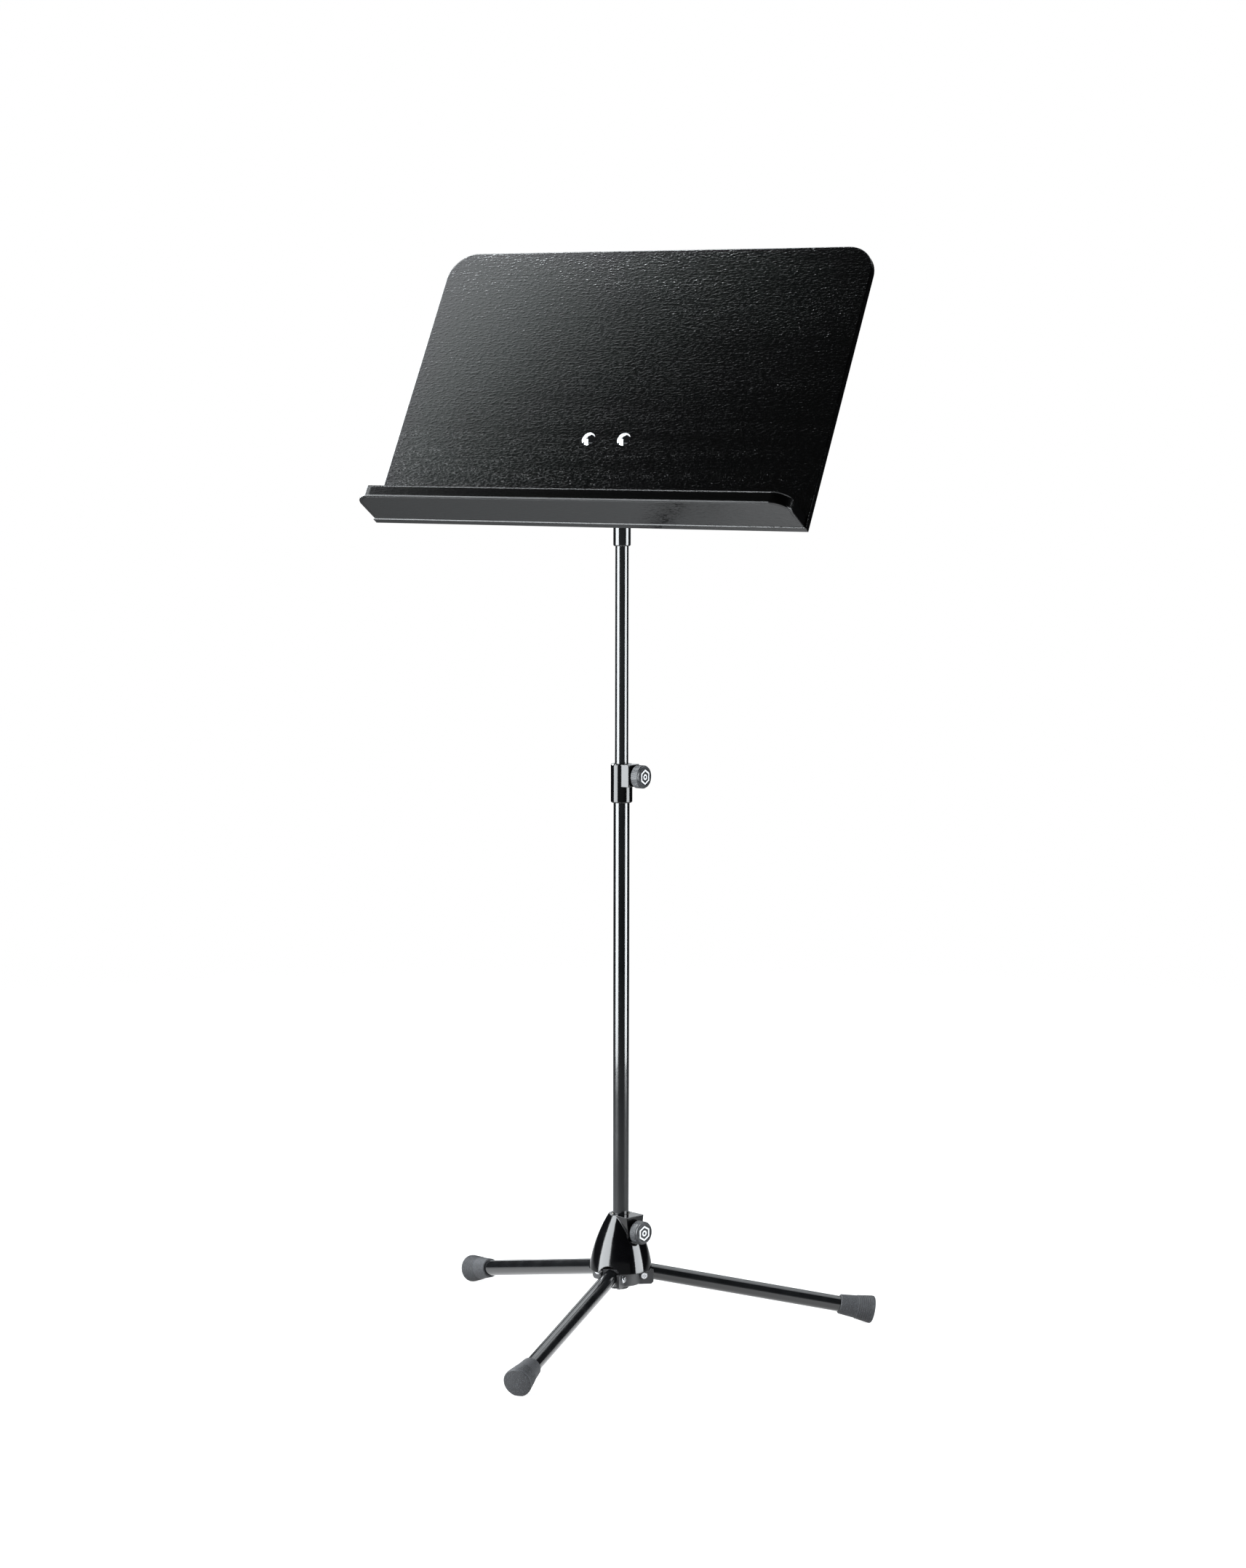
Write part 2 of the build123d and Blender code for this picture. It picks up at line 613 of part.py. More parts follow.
# ---- clamping screws and knobs ---------------------------------------------------------------------
def thrust_pad(bearing, height, start):
    """Pad that the screw's tip presses on the tube, with a blind hole for the screw's nose."""
    with BuildPart() as pad:
        with BuildSketch(facing(bearing, start, height)):
            Circle(PAD_R)
        extrude(amount=PAD_LENGTH)
        with BuildSketch(facing(bearing, start + PAD_LENGTH, height)):
            Circle(SCREW_NOSE_R + FIT)
        extrude(amount=-2.4, mode=Mode.SUBTRACT)
    return pad.part


def clamp_screw(bearing, height, start, end):
    """Clamping screw from its nose to its end in the knob."""
    with BuildPart() as screw:
        with BuildSketch(facing(bearing, start, height)):
            Circle(SCREW_R)
        extrude(amount=end - start)
        chamfer(screw.edges().filter_by(GeomType.CIRCLE), 0.6)
        with BuildSketch(facing(bearing, start - 2, height)):
            Circle(SCREW_NOSE_R)
        extrude(amount=2.2)
    return screw.part


def knob_body(bearing, height, back):
    """Ribbed knob with a neck towards the clamp and a shallow dish for its cover."""
    with BuildPart() as knob:
        front = back + KNOB_LENGTH
        profile = Plane(origin=facing(bearing, 0, height).origin, x_dir=outward(bearing),
                        z_dir=-sideways(bearing))
        with BuildSketch(profile):
            with BuildLine():
                Polyline(
                    (back - 2.8, 0), (back - 2.8, KNOB_NECK_R), (back, KNOB_NECK_R),
                    (back, KNOB_R - 1.6), (back + 1.2, KNOB_R), (front - 2.6, KNOB_R),
                    (front - 2.2, KNOB_R - 0.7), (front - 0.7, KNOB_R - 1.0), (front, KNOB_R - 2.0),
                    (front, KNOB_R - 3.0), (front - 1.4, KNOB_R - 3.0), (front - 1.4, 0), close=True,
                )
            make_face()
        revolve(axis=Axis(profile.origin, outward(bearing)))
        with BuildSketch(facing(bearing, back, height)):
            with PolarLocations(KNOB_R + 0.15, KNOB_RIBS):
                Rectangle(0.62, 0.62, rotation=45)
        extrude(amount=KNOB_LENGTH - 2.8, mode=Mode.SUBTRACT)
        with BuildSketch(facing(bearing, back - 3, height)):
            Circle(SCREW_R)
        extrude(amount=KNOB_LENGTH, mode=Mode.SUBTRACT)
    return knob.part


def knob_cover(bearing, height, back):
    """Cover disc in the knob's dish, with one plain ring groove."""
    front = back + KNOB_LENGTH - 1.4
    with BuildPart() as cover:
        with BuildSketch(facing(bearing, front, height)):
            Circle(KNOB_R - 3.0)
        extrude(amount=1.0)
        with BuildSketch(facing(bearing, front + 1.0, height)):
            Circle(7.6)
            Circle(6.9, mode=Mode.SUBTRACT)
        extrude(amount=-0.3, mode=Mode.SUBTRACT)
    return cover.part


def clamp_set(name, bearing, height, pad_start, back):
    """Write one knob, its cover, screw and thrust pad."""
    screw_start = pad_start + PAD_LENGTH + 0.1
    keep(thrust_pad(bearing, height, pad_start), f"{name}_thrust_pad")
    keep(clamp_screw(bearing, height, screw_start, back + KNOB_LENGTH - 3), f"{name}_screw")
    keep(knob_body(bearing, height, back), f"{name}_knob")
    keep(knob_cover(bearing, height, back), f"{name}_knob_cover")


clamp_set("column", CLAMP_BEARING, CLAMP_HEIGHT, ROD_R + GAP, CLAMP_KNOB_BACK)
clamp_set("bell", BELL_BEARING, BELL_SCREW_HEIGHT, TUBE_R + GAP, BELL_KNOB_BACK)

# ---- bell ------------------------------------------------------------------------------------------
with BuildPart() as bell_housing:
    with BuildSketch(Plane.XZ):
        with BuildLine():
            Line((0, BELL_RIM), (BELL_RIM_R, BELL_RIM))
            ThreePointArc((BELL_RIM_R, BELL_RIM), (BELL_MID_R, BELL_MID), (BELL_TOP_R, BELL_TOP))
            Line((BELL_TOP_R, BELL_TOP), (0, BELL_TOP))
            Line((0, BELL_TOP), (0, BELL_RIM))
        make_face()
    revolve(axis=Axis.Z)
    with BuildSketch(facing(BELL_BEARING, 6, BELL_BOSS_BOTTOM)):
        with BuildLine():
            Polyline(
                (-BELL_BOSS_FOOT / 2, 0), (BELL_BOSS_FOOT / 2, 0),
                (BELL_BOSS_WIDTH / 2, BELL_TOP - BELL_BOSS_BOTTOM),
                (-BELL_BOSS_WIDTH / 2, BELL_TOP - BELL_BOSS_BOTTOM), close=True,
            )
        make_face()
    extrude(amount=BELL_BOSS_FACE - 6)
    with BuildSketch(facing(BELL_BEARING, BELL_BOSS_FACE, BELL_SCREW_HEIGHT)):
        Circle(KNOB_R + 1.0)
    extrude(amount=30, mode=Mode.SUBTRACT)
    with BuildSketch(Plane.XZ):
        with BuildLine():
            Line((0, BELL_RIM), (BELL_RIM_R - BELL_WALL, BELL_RIM))
            ThreePointArc(
                (BELL_RIM_R - BELL_WALL, BELL_RIM), (BELL_RIM_R - BELL_WALL - 1.2, BELL_RIM + 10),
                (BELL_RIM_R - BELL_WALL - 3.9, BELL_CAVITY_TOP),
            )
            Line((BELL_RIM_R - BELL_WALL - 3.9, BELL_CAVITY_TOP), (0, BELL_CAVITY_TOP))
            Line((0, BELL_CAVITY_TOP), (0, BELL_RIM))
        make_face()
    revolve(axis=Axis.Z, mode=Mode.SUBTRACT)
    for bearing in LEG_BEARINGS.values():
        with BuildSketch(leg_across(bearing, 0)):
            Circle(ARCH_R)
        extrude(amount=40, mode=Mode.SUBTRACT)
    with BuildSketch(Plane.XY.offset(BELL_CAVITY_TOP)):
        Circle(BELL_BORE_R)
    extrude(amount=BELL_TOP - BELL_CAVITY_TOP, mode=Mode.SUBTRACT)
    with BuildSketch(facing(BELL_BEARING, 0, BELL_SCREW_HEIGHT)):
        Circle(SCREW_R + 1.5 * FIT)
    extrude(amount=BELL_BOSS_FACE + 1, mode=Mode.SUBTRACT)
keep(bell_housing.part, "bell_housing")

with BuildPart() as bell_bush:
    with BuildSketch(Plane.XY.offset(BELL_CAVITY_TOP)):
        Circle(BELL_BORE_R)
        Circle(TUBE_R + FIT, mode=Mode.SUBTRACT)
    extrude(amount=BELL_TOP - 0.6 - BELL_CAVITY_TOP)
    with BuildSketch(facing(BELL_BEARING, 0, BELL_SCREW_HEIGHT)):
        Circle(PAD_R + 0.15)
    extrude(amount=SLEEVE_R, mode=Mode.SUBTRACT)
keep(bell_bush.part, "bell_bush")


# ---- legs ------------------------------------------------------------------------------------------
def leg_fitting(bearing):
    """Pivot end of a leg: a rounded block between the fork's cheeks and a spigot in the tube."""
    pivot_y = -LEG_AXIS_RISE
    round_x = sqrt(LEG_R**2 - (LEG_R + pivot_y) ** 2)
    with BuildPart() as fitting:
        with BuildSketch(leg_section(bearing)):
            with BuildLine():
                Polyline((-round_x, -LEG_R), (LEG_START, -LEG_R), (LEG_START, LEG_R), (1, LEG_R))
                ThreePointArc((1, LEG_R), (-6.4, 4.8), (-LEG_R, pivot_y))
                RadiusArc((-LEG_R, pivot_y), (-round_x, -LEG_R), -LEG_R)
            make_face()
        extrude(amount=FITTING_HALF_WIDTH, both=True)
        with BuildSketch(leg_across(bearing, LEG_START)):
            Circle(LEG_R - LEG_WALL)
        extrude(amount=32)
        with BuildSketch(pivot_across(bearing)):
            Circle(PIVOT_R + FIT)
        extrude(amount=FITTING_HALF_WIDTH + 1, both=True, mode=Mode.SUBTRACT)
    return fitting.part


def leg_tube(bearing):
    """Straight leg tube."""
    with BuildPart() as tube:
        with BuildSketch(leg_across(bearing, LEG_START)):
            Circle(LEG_R)
            Circle(LEG_R - LEG_WALL, mode=Mode.SUBTRACT)
        extrude(amount=LEG_END - LEG_START)
    return tube.part


def foot_cap(bearing):
    """Rubber cap: a smooth taper, a ribbed flare and a rim, flattened where it meets the floor."""
    ribs = 7
    rib_start = CAP_START + 19.5
    rib_pitch = 2.3
    rim_start = rib_start + ribs * rib_pitch
    dome_r = CAP_RIM_R - 0.9
    dome_height = 1.2
    dome_bend = (dome_r**2 + dome_height**2) / (2 * dome_height)
    dome_start = rim_start + 4.1
    outline = [(CAP_START, LEG_R), (CAP_START, 10.4), (CAP_START + 0.8, 11.2), (rib_start, 13.0)]
    for rib in range(ribs):
        place = rib_start + rib * rib_pitch
        radius = 13.4 + rib * 0.32
        outline += [(place + 0.5, radius - 0.3), (place + 0.9, radius + 0.2)]
        outline += [(place + 1.7, radius + 0.3), (place + rib_pitch, radius - 0.1)]
    outline += [(rim_start + 0.6, CAP_RIM_R), (rim_start + 3.2, CAP_RIM_R), (dome_start, dome_r)]
    with BuildPart() as cap:
        with BuildSketch(leg_section(bearing)):
            with BuildLine():
                Polyline(*outline)
                RadiusArc((dome_start, dome_r), (dome_start + dome_height, 0), dome_bend)
                Polyline((dome_start + dome_height, 0), (LEG_END, 0), (LEG_END, LEG_R), (CAP_START, LEG_R))
            make_face()
        revolve(axis=Axis(leg_origin(bearing), leg_direction(bearing)))
        with BuildSketch(Plane.XY):
            Rectangle(900, 900)
        extrude(amount=-20, mode=Mode.SUBTRACT)
    return cap.part


for leg, bearing in LEG_BEARINGS.items():
    keep(leg_fitting(bearing), f"{leg}_fitting")
    keep(leg_tube(bearing), f"{leg}_tube")
    keep(foot_cap(bearing), f"{leg}_foot_cap")
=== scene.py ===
"""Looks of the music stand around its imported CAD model. Metres, +Z up, the desk faces -Y.

Bearings are degrees from -Y towards +X. Radiance 1.0 is white.
"""

import json
import math

import bmesh
import bpy
from mathutils import Matrix, Vector


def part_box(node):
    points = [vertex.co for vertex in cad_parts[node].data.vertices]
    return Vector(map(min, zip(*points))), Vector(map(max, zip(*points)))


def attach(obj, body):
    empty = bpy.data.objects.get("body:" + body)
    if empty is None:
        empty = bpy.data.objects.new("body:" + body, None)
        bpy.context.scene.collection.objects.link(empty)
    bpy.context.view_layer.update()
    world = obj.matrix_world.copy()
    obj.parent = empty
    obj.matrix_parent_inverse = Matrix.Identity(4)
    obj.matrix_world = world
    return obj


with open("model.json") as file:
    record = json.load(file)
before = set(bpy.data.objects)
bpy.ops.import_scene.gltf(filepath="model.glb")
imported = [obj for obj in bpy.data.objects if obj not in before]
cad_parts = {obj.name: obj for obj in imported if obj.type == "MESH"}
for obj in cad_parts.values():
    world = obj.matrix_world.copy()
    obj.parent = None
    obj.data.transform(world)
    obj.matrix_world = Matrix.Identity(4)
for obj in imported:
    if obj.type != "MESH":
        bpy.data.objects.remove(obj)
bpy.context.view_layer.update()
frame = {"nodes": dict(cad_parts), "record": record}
scene = bpy.context.scene

DESK_TILT = math.radians(30.75)
UP = Vector((0, 0, 1))


def outward(bearing):
    angle = math.radians(bearing)
    return Vector((math.sin(angle), -math.cos(angle), 0))


def axes_at(across, over, normal, place):
    """Pose with the given X, Y and Z axes at a place."""
    pose = Matrix((across, over, normal)).transposed().to_4x4()
    pose.translation = place
    return pose


# ---- node helpers ----------------------------------------------------------------------------------
class Nodes:
    """A material's node tree with short ways to add the nodes that the finishes share."""

    def __init__(self, name, base, roughness, **sockets):
        self.material = bpy.data.materials.new(name)
        self.material.use_nodes = True
        self.tree = self.material.node_tree
        self.shader = self.tree.nodes["Principled BSDF"]
        self.set("Base Color", (*base, 1.0))
        self.set("Roughness", roughness)
        for socket, value in sockets.items():
            self.set(socket.replace("_", " "), value)

    def set(self, socket, value):
        self.shader.inputs[socket].default_value = value

    def link(self, source, target):
        self.tree.links.new(source, target)

    def place(self, scale=(1, 1, 1), turn=(0, 0, 0)):
        """Object coordinates, turned and stretched."""
        coordinates = self.tree.nodes.new("ShaderNodeTexCoord")
        turned = self.tree.nodes.new("ShaderNodeMapping")
        turned.inputs["Rotation"].default_value = turn
        self.link(coordinates.outputs["Object"], turned.inputs["Vector"])
        stretched = self.tree.nodes.new("ShaderNodeMapping")
        stretched.inputs["Scale"].default_value = scale
        self.link(turned.outputs["Vector"], stretched.inputs["Vector"])
        return stretched.outputs["Vector"]

    def noise(self, vector, scale, detail=3.0, rough=0.5, distortion=0.0):
        texture = self.tree.nodes.new("ShaderNodeTexNoise")
        texture.inputs["Scale"].default_value = scale
        texture.inputs["Detail"].default_value = detail
        texture.inputs["Roughness"].default_value = rough
        texture.inputs["Distortion"].default_value = distortion
        self.link(vector, texture.inputs["Vector"])
        return texture.outputs["Fac"]

    def remap(self, value, low, high, to_low, to_high):
        """Map a span of a value to another span, clamped."""
        node = self.tree.nodes.new("ShaderNodeMapRange")
        node.inputs["From Min"].default_value = low
        node.inputs["From Max"].default_value = high
        node.inputs["To Min"].default_value = to_low
        node.inputs["To Max"].default_value = to_high
        self.link(value, node.inputs["Value"])
        return node.outputs["Result"]

    def math(self, operation, one, two):
        """Combine two values, each an output or a plain number."""
        node = self.tree.nodes.new("ShaderNodeMath")
        node.operation = operation
        for socket, value in zip(node.inputs, (one, two)):
            if isinstance(value, (int, float)):
                socket.default_value = value
            else:
                self.link(value, socket)
        return node.outputs["Value"]

    def mix(self, factor, first, second):
        """Mix two plain colours by a factor."""
        node = self.tree.nodes.new("ShaderNodeMix")
        node.data_type = "RGBA"
        self.link(factor, node.inputs["Factor"])
        node.inputs["A"].default_value = (*first, 1.0)
        node.inputs["B"].default_value = (*second, 1.0)
        return node.outputs["Result"]

    def brighten(self, factor, base, times):
        """Mix a colour with a multiple of itself."""
        return self.mix(factor, base, tuple(times * part for part in base))

    def length(self, vector):
        node = self.tree.nodes.new("ShaderNodeVectorMath")
        node.operation = "LENGTH"
        self.link(vector, node.inputs[0])
        return node.outputs["Value"]

    def bump(self, height, strength, distance):
        node = self.tree.nodes.new("ShaderNodeBump")
        node.inputs["Strength"].default_value = strength
        node.inputs["Distance"].default_value = distance
        self.link(height, node.inputs["Height"])
        return node

    def rounded_bump(self, height, strength, distance, edge):
        """Bump over normals that round the piece's edges."""
        bevel = self.tree.nodes.new("ShaderNodeBevel")
        bevel.samples = 4
        bevel.inputs["Radius"].default_value = edge
        node = self.bump(height, strength, distance)
        self.link(bevel.outputs["Normal"], node.inputs["Normal"])
        return node

    def colour(self, output):
        self.link(output, self.shader.inputs["Base Color"])

    def roughness(self, output):
        self.link(output, self.shader.inputs["Roughness"])

    def normal(self, node):
        self.link(node.outputs["Normal"], self.shader.inputs["Normal"])


# ---- finishes --------------------------------------------------------------------------------------
def stained_wood(name, dark, light, roughness, relief, edge):
    """Black stain over open-pored wood, its grain along the desk's width."""
    n = Nodes(name, dark, roughness)
    turn = (-(math.pi / 2 - DESK_TILT), 0, 0)
    pores = n.noise(n.place((190, 460, 460), turn), 1.0, 2.0, 0.6)
    streaks = n.noise(n.place((16, 300, 300), turn), 1.0, 4.0, 0.6, 0.4)
    figure = n.noise(n.place((2.4, 40, 40), turn), 1.0, 3.0, 0.55, 1.2)
    pore = n.remap(pores, 0.46, 0.66, 0.0, 1.0)
    streak = n.remap(streaks, 0.36, 0.66, 0.0, 1.0)
    grain = n.math("ADD", n.math("MULTIPLY", pore, 0.8), n.math("MULTIPLY", streak, 0.2))
    tone = n.math("MULTIPLY", grain, n.remap(figure, 0.3, 0.7, 0.7, 1.15))
    n.colour(n.mix(tone, dark, light))
    n.roughness(n.remap(tone, 0.0, 1.0, roughness + 0.02, roughness - 0.02))
    n.normal(n.rounded_bump(tone, relief, 0.0003, edge))
    return n.material


def gloss_coat(name, base, roughness, coat, specular):
    """Gloss coat on metal with a faint orange peel and handling marks."""
    n = Nodes(name, base, roughness, Coat_Weight=coat, Coat_Roughness=0.05, Specular_IOR_Level=specular)
    peel = n.noise(n.place(), 900.0, 2.0, 0.5)
    marks = n.noise(n.place((1, 1, 0.35)), 45.0, 4.0, 0.62)
    n.roughness(n.remap(marks, 0.3, 0.75, roughness - 0.03, roughness + 0.08))
    n.colour(n.brighten(n.remap(marks, 0.35, 0.8, 0.0, 1.0), base, 1.7))
    n.normal(n.rounded_bump(peel, 0.04, 0.00012, 0.0012))
    return n.material


def cast_coat(name, base, roughness):
    """Satin coat over a cast or pressed surface, slightly grainy."""
    n = Nodes(name, base, roughness, Specular_IOR_Level=0.5)
    grain = n.noise(n.place(), 1400.0, 3.0, 0.6)
    patches = n.noise(n.place(), 60.0, 3.0, 0.5)
    n.roughness(n.remap(patches, 0.3, 0.7, roughness - 0.06, roughness + 0.08))
    n.colour(n.brighten(n.remap(grain, 0.4, 0.7, 0.0, 1.0), base, 1.8))
    n.normal(n.rounded_bump(grain, 0.18, 0.0002, 0.0005))
    return n.material


def grained_plastic(name, base, roughness, fleck=2.2, scale=1900.0):
    """Moulded plastic or rubber with a fine grain and pale dust in it."""
    n = Nodes(name, base, roughness, Specular_IOR_Level=0.4)
    grain = n.noise(n.place(), scale, 3.0, 0.65)
    bloom = n.noise(n.place(), 120.0, 4.0, 0.6)
    flecks = n.remap(grain, 0.48, 0.72, 0.0, 1.0)
    n.colour(n.brighten(n.math("MULTIPLY", flecks, n.remap(bloom, 0.3, 0.7, 0.5, 1.2)), base, fleck))
    n.roughness(n.remap(bloom, 0.3, 0.7, roughness - 0.05, roughness + 0.08))
    n.normal(n.rounded_bump(grain, 0.25, 0.00018, 0.0003))
    return n.material


def bright_metal(name, base, roughness):
    """Plated or machined metal with fine scratches."""
    n = Nodes(name, base, roughness, Metallic=1.0)
    scratches = n.noise(n.place((1, 6, 1)), 350.0, 5.0, 0.7)
    n.roughness(n.remap(scratches, 0.3, 0.75, roughness * 0.7, roughness * 1.6))
    n.colour(n.brighten(n.remap(scratches, 0.35, 0.75, 0.0, 1.0), base, 0.8))
    n.normal(n.rounded_bump(scratches, 0.06, 0.0001, 0.0003))
    return n.material


def natural_nylon(name):
    """Natural nylon, slightly mottled."""
    n = Nodes(name, (0.72, 0.7, 0.64), 0.45, Subsurface_Weight=0.1, Subsurface_Scale=0.001)
    mottle = n.noise(n.place(), 300.0, 3.0, 0.5)
    n.colour(n.mix(n.remap(mottle, 0.35, 0.7, 0.0, 1.0), (0.75, 0.73, 0.67), (0.6, 0.58, 0.52)))
    n.normal(n.bump(mottle, 0.1, 0.0002))
    return n.material


STAIN = (0.0001, 0.0001, 0.0001)
WORN_STAIN = (0.001, 0.001, 0.001)
FINISHES = {
    "stained_wood": stained_wood("stained_wood_finish", STAIN, WORN_STAIN, 0.11, 0.35, 0.0012),
    "lip_black": stained_wood("lip_finish", STAIN, WORN_STAIN, 0.12, 0.12, 0.0024),
    "gloss_black": gloss_coat("gloss_black_finish", (0.003, 0.0032, 0.0035), 0.13, 0.5, 0.5),
    "satin_black": cast_coat("satin_black_finish", (0.012, 0.012, 0.013), 0.4),
    "bell_black": gloss_coat("bell_black_finish", (0.001, 0.001, 0.0012), 0.09, 0.0, 0.42),
    "black_plastic": grained_plastic("black_plastic_finish", (0.012, 0.012, 0.013), 0.5),
    "knob_black": grained_plastic("knob_finish", (0.016, 0.017, 0.019), 0.3, 2.4),
    "knob_cover": grained_plastic("knob_cover_finish", (0.004, 0.004, 0.005), 0.3, 1.8),
    "foot_rubber": grained_plastic("foot_rubber_finish", (0.012, 0.0125, 0.014), 0.62, 5.0, 1000.0),
    "nylon": natural_nylon("nylon_finish"),
    "silver_print": grained_plastic("silver_print_finish", (0.55, 0.56, 0.58), 0.4, 1.3),
    "zinc_steel": bright_metal("zinc_finish", (0.62, 0.63, 0.65), 0.24),
    "bright_chrome": bright_metal("chrome_finish", (0.85, 0.86, 0.88), 0.07),
    "brass": bright_metal("brass_finish", (0.75, 0.56, 0.27), 0.25),
}
looks = {row["node"]: row["material_slot"] for row in frame["record"]["subparts"]}
# The sleeve's coat is duller than the tubes' coat, like the bell's.
looks["clamp_sleeve"] = "bell_black"
for node, obj in frame["nodes"].items():
    for slot in obj.material_slots:
        slot.material = FINISHES[looks[node]]


# ---- plain silver mark on each knob's cover --------------------------------------------------------
KNOB_BEARINGS = {"column": 82.0, "bell": 72.0}
MARK_DEPTH = 0.0001
MARK_PROUD = 0.0005             # the mark's back stands this far out from the middle of the cover
HEXAGON = (0.0087, 0.0066)      # outer and inner radius to the corners
RING = (0.0034, 0.0016)         # outer and inner radius
RING_SIDES = 40


def outline_band(mesh, radii, sides, turn=0.0):
    """Flat closed band between two regular outlines, facing +Z."""
    outer, inner = radii
    rims = []
    for radius, height in ((outer, 0.0), (outer, MARK_DEPTH), (inner, MARK_DEPTH), (inner, 0.0)):
        rim = []
        for side in range(sides):
            angle = turn + 2 * math.pi * side / sides
            rim.append(mesh.verts.new((radius * math.cos(angle), radius * math.sin(angle), height)))
        rims.append(rim)
    for first, second in zip(rims, rims[1:] + rims[:1]):
        for side in range(sides):
            after = (side + 1) % sides
            mesh.faces.new((first[side], first[after], second[after], second[side]))


def knob_mark(clamp, bearing):
    """Hexagon outline round a small ring, inlaid in the cover."""
    mesh = bmesh.new()
    outline_band(mesh, HEXAGON, 6, math.radians(30))
    outline_band(mesh, RING, RING_SIDES)
    bmesh.ops.recalc_face_normals(mesh, faces=mesh.faces)
    data = bpy.data.meshes.new(f"{clamp}_knob_mark")
    mesh.to_mesh(data)
    mesh.free()
    low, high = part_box(f"{clamp}_knob_cover")
    centre = (Vector(low) + Vector(high)) / 2
    normal = outward(bearing)
    data.transform(axes_at(UP.cross(normal), UP, normal, centre + normal * MARK_PROUD))
    mark = bpy.data.objects.new(f"{clamp}_knob_mark", data)
    scene.collection.objects.link(mark)
    data.materials.append(FINISHES["silver_print"])
    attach(mark, f"{clamp}_clamp")


for clamp, bearing in KNOB_BEARINGS.items():
    knob_mark(clamp, bearing)


# ---- floor -----------------------------------------------------------------------------------------
FLOOR_RADIUS = 6.0
FLOOR_DROP = 0.0002
FLOOR_FADE = (0.5, 2.6, 1.0, 0.0)           # from and to distance from the stand, from and to opacity
SEEN_GLOW = (0.5, 1.2, 0.82, 1.0)           # the same for the glow that the camera sees
MIRRORED_GLOW = (0.3, 0.6, 0.85, 0.03)      # the same for the glow that the pieces mirror


def pale_floor():
    """Pale disc under the stand that fades into the pale surroundings."""
    mesh = bmesh.new()
    bmesh.ops.create_circle(mesh, cap_ends=True, segments=128, radius=FLOOR_RADIUS)
    data = bpy.data.meshes.new("floor")
    mesh.to_mesh(data)
    mesh.free()
    floor = bpy.data.objects.new("floor", data)
    floor.location = (0, 0, -FLOOR_DROP)
    scene.collection.objects.link(floor)
    n = Nodes("floor_finish", (0.2, 0.2, 0.2), 0.9, Emission_Color=(1, 1, 1, 1))
    mottle = n.noise(n.place(), 3.0, 3.0, 0.5)
    n.colour(n.mix(mottle, (0.19, 0.19, 0.19), (0.21, 0.21, 0.21)))
    distance = n.length(n.place())
    n.link(n.remap(distance, *FLOOR_FADE), n.shader.inputs["Alpha"])
    path = n.tree.nodes.new("ShaderNodeLightPath")
    seen = n.math("MULTIPLY", path.outputs["Is Camera Ray"], n.remap(distance, *SEEN_GLOW))
    mirrored = n.remap(distance, *MIRRORED_GLOW)
    n.link(n.math("MAXIMUM", seen, mirrored), n.shader.inputs["Emission Strength"])
    data.materials.append(n.material)


# ---- light -----------------------------------------------------------------------------------------
BOX_TINT = (0.93, 0.97, 1.0)
ROOM_TINT = (0.9, 0.95, 1.0)
ROOM_GLOW = 0.012


def soft_box(name, centre, width_axis, height_axis, size, radiance):
    """Rectangular soft box of an even radiance, facing against width x height."""
    data = bpy.data.lights.new(name, "AREA")
    data.shape = "RECTANGLE"
    data.size, data.size_y = size
    data.energy = radiance * math.pi * size[0] * size[1]
    data.color = BOX_TINT
    lamp = bpy.data.objects.new(name, data)
    across, over = Vector(width_axis).normalized(), Vector(height_axis).normalized()
    lamp.matrix_world = axes_at(across, over, across.cross(over), centre)
    lamp.visible_camera = False
    scene.collection.objects.link(lamp)


# The slanted box that the desk mirrors, and the strips beside it that grow dimmer.
SHEEN_MIDDLE = Vector((-1.004, -0.253, 2.233))
SHEEN_ACROSS = Vector((0.798, -0.349, -0.492))
SHEEN_OVER = Vector((0.603, 0.461, 0.651))
SHEEN_LENGTH = 1.2
SHEEN_BOX_ASIDE = -0.155
SHEEN_BOX_WIDTH = 0.89
SHEEN_BOX_RADIANCE = 3.6
SHEEN_FIRST_STRIP = 0.32
SHEEN_STRIP_WIDTH = 0.06
SHEEN_STRIPS = (3.1, 2.2, 1.3, 0.62, 0.22, 0.06, 0.02)


def sheen_box(name, aside, width, radiance):
    centre = SHEEN_MIDDLE + SHEEN_ACROSS * aside
    soft_box(name, centre, SHEEN_ACROSS, SHEEN_OVER, (width, SHEEN_LENGTH), radiance)


def surroundings():
    """White to the camera, dim grey in reflections."""
    world = bpy.data.worlds.new("studio")
    scene.world = world
    world.use_nodes = True
    tree = world.node_tree
    plain = tree.nodes["Background"]
    plain.inputs["Color"].default_value = (*ROOM_TINT, 1)
    plain.inputs["Strength"].default_value = ROOM_GLOW
    seen = tree.nodes.new("ShaderNodeBackground")
    seen.inputs["Color"].default_value = (1, 1, 1, 1)
    seen.inputs["Strength"].default_value = 1.0
    mix = tree.nodes.new("ShaderNodeMixShader")
    path = tree.nodes.new("ShaderNodeLightPath")
    tree.links.new(path.outputs["Is Camera Ray"], mix.inputs["Fac"])
    tree.links.new(plain.outputs["Background"], mix.inputs[1])
    tree.links.new(seen.outputs["Background"], mix.inputs[2])
    tree.links.new(mix.outputs["Shader"], tree.nodes["World Output"].inputs["Surface"])


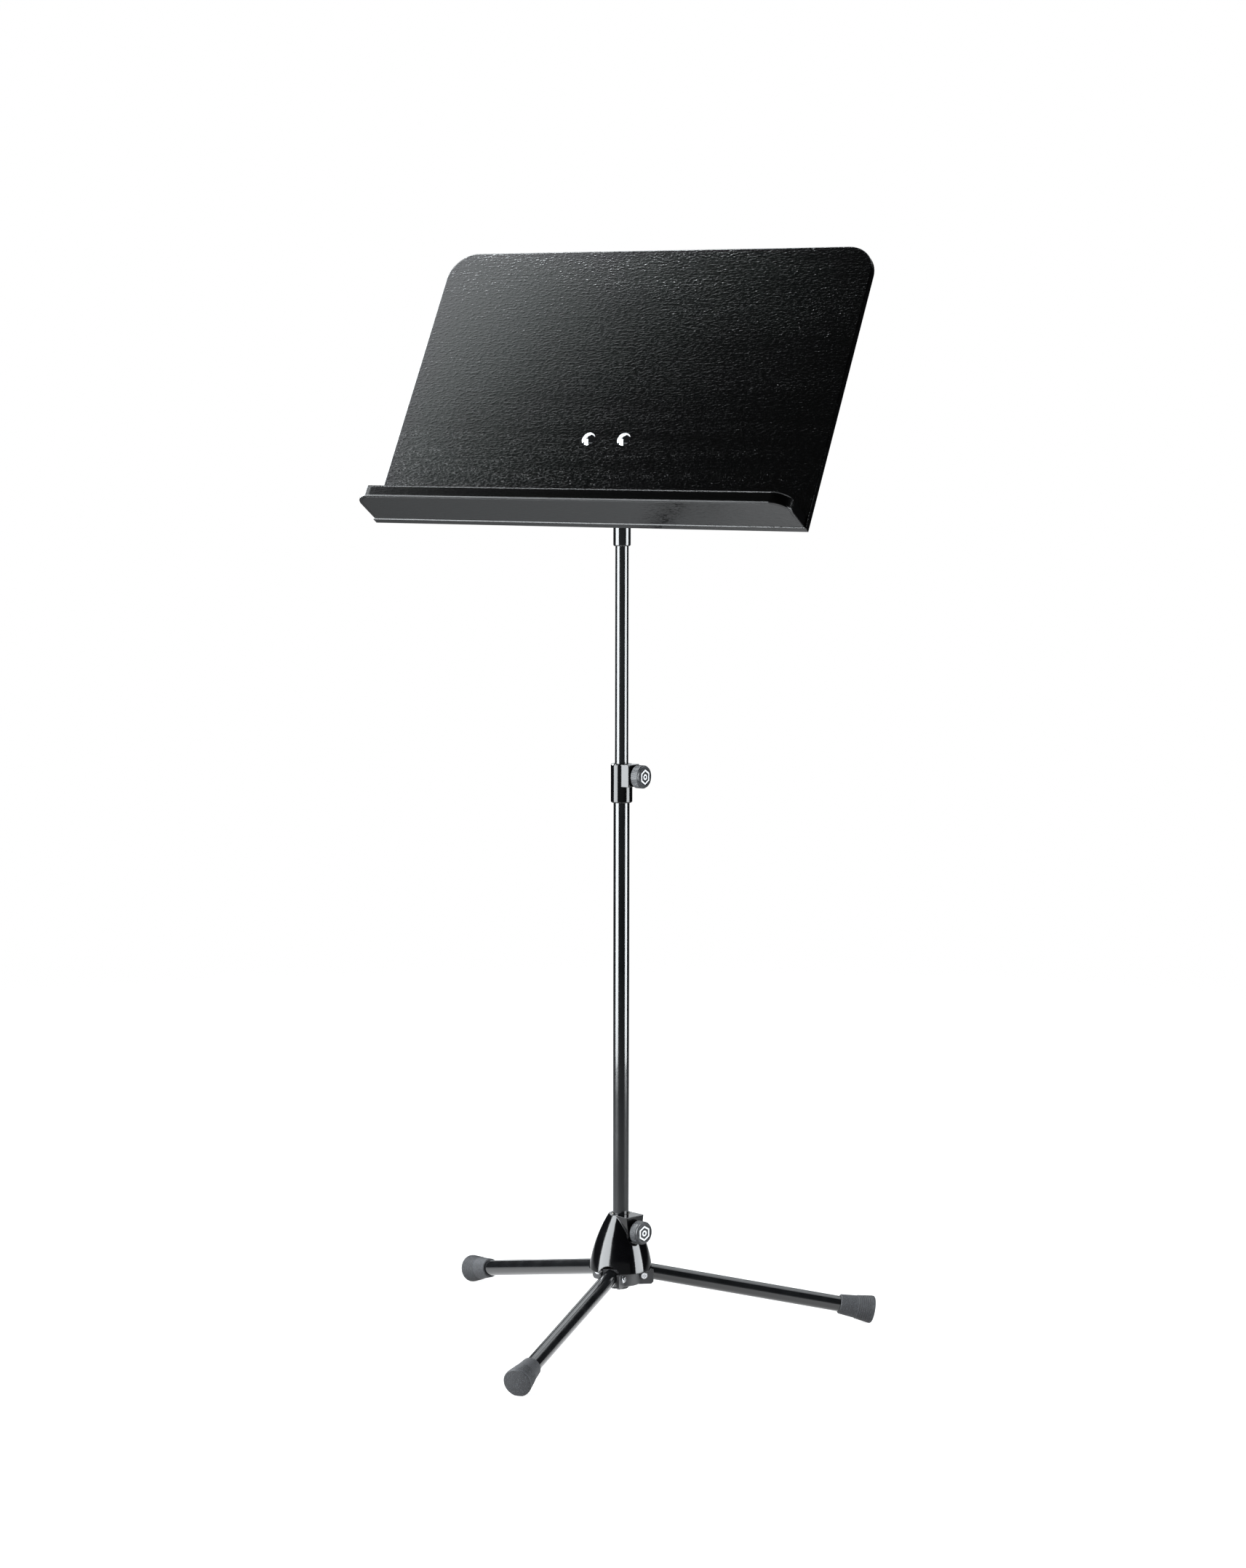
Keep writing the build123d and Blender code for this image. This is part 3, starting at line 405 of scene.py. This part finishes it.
# Upright boxes that face the column: name, bearing, distance and height of the middle,
# (width, height), radiance.
UPRIGHT_BOXES = (
    ("left_box", -38, 1.5, 1.0, (1.2, 1.96), 16.0),
    ("right_box", 101, 1.5, 0.56, (0.9, 1.08), 14.5),
    ("front_fill", 28, 5.0, 0.55, (7.0, 1.1), 0.16),
    ("corner_box", -100, 1.6, 1.5, (1.3, 0.9), 18.0),
    ("back_box", 195, 2.6, 2.3, (2.6, 1.0), 1.6),
    ("rear_low", 208, 2.6, 0.75, (1.6, 0.7), 1.2),
)


# ---- camera ----------------------------------------------------------------------------------------
CAMERA_AZIMUTH = math.radians(28.16)
CAMERA_REACH = 3.963
CAMERA_HEIGHT = 1.061
CAMERA_ASIDE = 0.0016
CAMERA_PITCH = math.radians(6.25)
CAMERA_ROLL = math.radians(0.107)
CAMERA_LENS = 81.62


def camera():
    right = Vector((math.cos(CAMERA_AZIMUTH), math.sin(CAMERA_AZIMUTH), 0))
    away = Vector((-math.sin(CAMERA_AZIMUTH), math.cos(CAMERA_AZIMUTH), 0))
    ahead = away * math.cos(CAMERA_PITCH) - Vector((0, 0, math.sin(CAMERA_PITCH)))
    over = right.cross(ahead)
    c, s = math.cos(CAMERA_ROLL), math.sin(CAMERA_ROLL)
    data = bpy.data.cameras.new("camera")
    data.lens = CAMERA_LENS
    data.sensor_width = 36.0
    data.clip_end = 50.0
    eye = bpy.data.objects.new("camera", data)
    place = right * CAMERA_ASIDE - away * CAMERA_REACH + Vector((0, 0, CAMERA_HEIGHT))
    eye.matrix_world = axes_at(right * c + over * s, over * c - right * s, -ahead, place)
    scene.collection.objects.link(eye)
    scene.camera = eye


# ---- stage -----------------------------------------------------------------------------------------
pale_floor()
surroundings()
sheen_box("desk_box", SHEEN_BOX_ASIDE, SHEEN_BOX_WIDTH, SHEEN_BOX_RADIANCE)
for step, radiance in enumerate(SHEEN_STRIPS):
    sheen_box(f"desk_fade_{step}", SHEEN_FIRST_STRIP + SHEEN_STRIP_WIDTH * step, SHEEN_STRIP_WIDTH, radiance)
# Lights the upper edges of the desk and of its lip.
soft_box("edge_box", (-0.59, 0.055, 2.02), (0.881, 0.075, 0.464), (0, 0.987, -0.159), (0.75, 0.22), 34.0)
for name, bearing, distance, height, size, radiance in UPRIGHT_BOXES:
    across = Vector((math.cos(math.radians(bearing)), math.sin(math.radians(bearing)), 0))
    soft_box(name, outward(bearing) * distance + UP * height, across, UP, size, radiance)
# Lights the floor from above the back.
soft_box("floor_box", (0.3, 1.3, 2.8), (1, 0, 0), (0, 0.9, -0.43), (2.6, 2.0), 2.0)
camera()
scene.view_settings.view_transform = "Standard"
